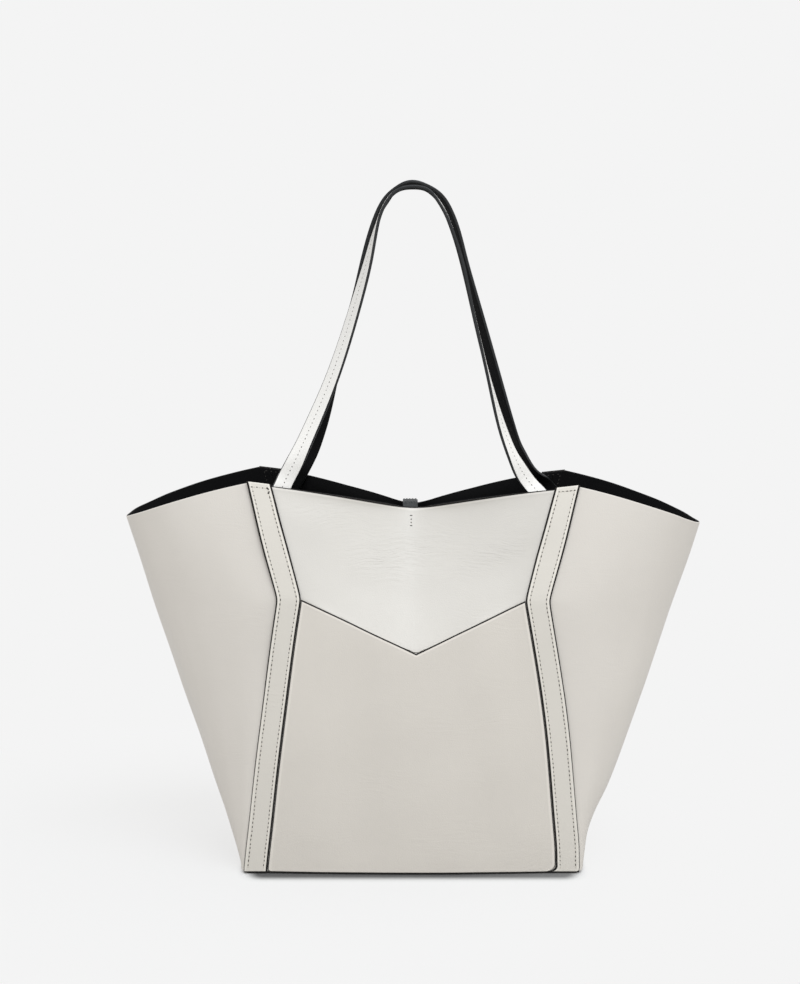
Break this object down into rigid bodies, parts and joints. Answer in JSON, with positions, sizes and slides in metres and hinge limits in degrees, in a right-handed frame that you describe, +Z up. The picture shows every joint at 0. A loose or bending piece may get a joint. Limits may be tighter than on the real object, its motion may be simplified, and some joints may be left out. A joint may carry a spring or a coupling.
{
  "type": "tote bag",
  "caption": "Structured open-top tote bag with flared side wings, a pointed front panel, upright bands, twin strap handles and a snap tab.",
  "frame": {"origin": "on the floor, under the middle of the bag", "axes": "+Z up, +X across the bag, and the front face looks along -Y"},
  "size_m": [0.4842, 0.1666, 0.5697],
  "materials": {
    "leather": "smooth, semi-gloss bone leather",
    "backing": "napped black backing",
    "board": "matt stiffening board",
    "tab_leather": "dark grey leather",
    "snap_metal": "satin metal"
  },
  "bodies": {
    "shell": {"front_main_panel": "leather", "back_main_panel": "leather", "front_overlay_panel": "leather", "back_overlay_panel": "leather", "front_left_band": "leather", "front_right_band": "leather", "back_left_band": "leather", "back_right_band": "leather", "left_wing": "leather", "right_wing": "leather", "base_panel": "leather", "front_handle_left_end": "leather", "front_handle_right_end": "leather", "back_handle_left_end": "leather", "back_handle_right_end": "leather", "front_lining": "backing", "back_lining": "backing", "left_wing_lining": "backing", "right_wing_lining": "backing", "base_lining": "backing", "base_board": "board", "front_tab_end": "tab_leather", "back_tab": "tab_leather", "back_tab_end": "tab_leather", "snap_socket": "snap_metal"},
    "front_handle": {"front_handle_strap": "leather", "front_handle_strap_lining": "backing"},
    "back_handle": {"back_handle_strap": "leather", "back_handle_strap_lining": "backing"},
    "closing_tab": {"front_tab": "tab_leather", "snap_stud": "snap_metal"}
  },
  "joints": [
    {"name": "front_handle_fold", "type": "hinge", "parent": "shell", "child": "front_handle", "pos_m": [0, -0.06205, 0.31824], "axis": [1, 0, 0], "range_deg": [0, 150]},
    {"name": "back_handle_fold", "type": "hinge", "parent": "shell", "child": "back_handle", "pos_m": [0, 0.06205, 0.31824], "axis": [-1, 0, 0], "range_deg": [0, 150]},
    {"name": "closing_tab_lift", "type": "hinge", "parent": "shell", "child": "closing_tab", "pos_m": [0, -0.01628, 0.29876], "axis": [1, 0, 0], "range_deg": [0, 120]}
  ]
}
